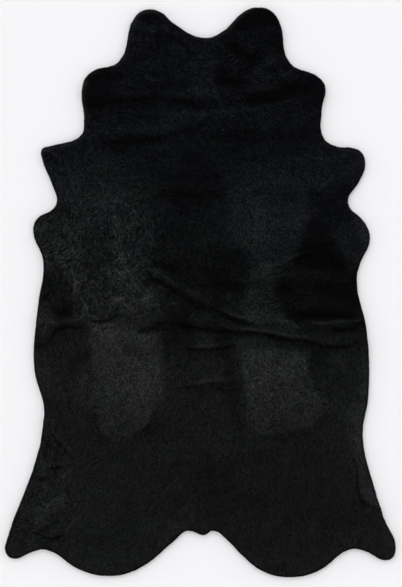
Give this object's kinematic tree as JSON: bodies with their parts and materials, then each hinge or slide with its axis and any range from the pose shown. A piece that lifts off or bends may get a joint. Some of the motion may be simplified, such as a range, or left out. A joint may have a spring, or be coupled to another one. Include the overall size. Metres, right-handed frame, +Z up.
{
  "type": "faux fur rug",
  "caption": "Black short-pile faux fur rug cut in one piece in the outline of a cow hide, lying flat, with the soft folds left from being rolled.",
  "frame": {"origin": "on the floor, at the middle of the rug's length and width", "axes": "+Y towards the neck end, along the rug's length; +X across it, to the right as seen from above with the neck up; +Z up, away from the floor"},
  "size_m": [1.372, 2, 0.023],
  "materials": {
    "black_fur": "short brushed pile, near black, dull with a faint sheen"
  },
  "bodies": {
    "root": {"hide_rug": "black_fur"}
  },
  "joints": []
}
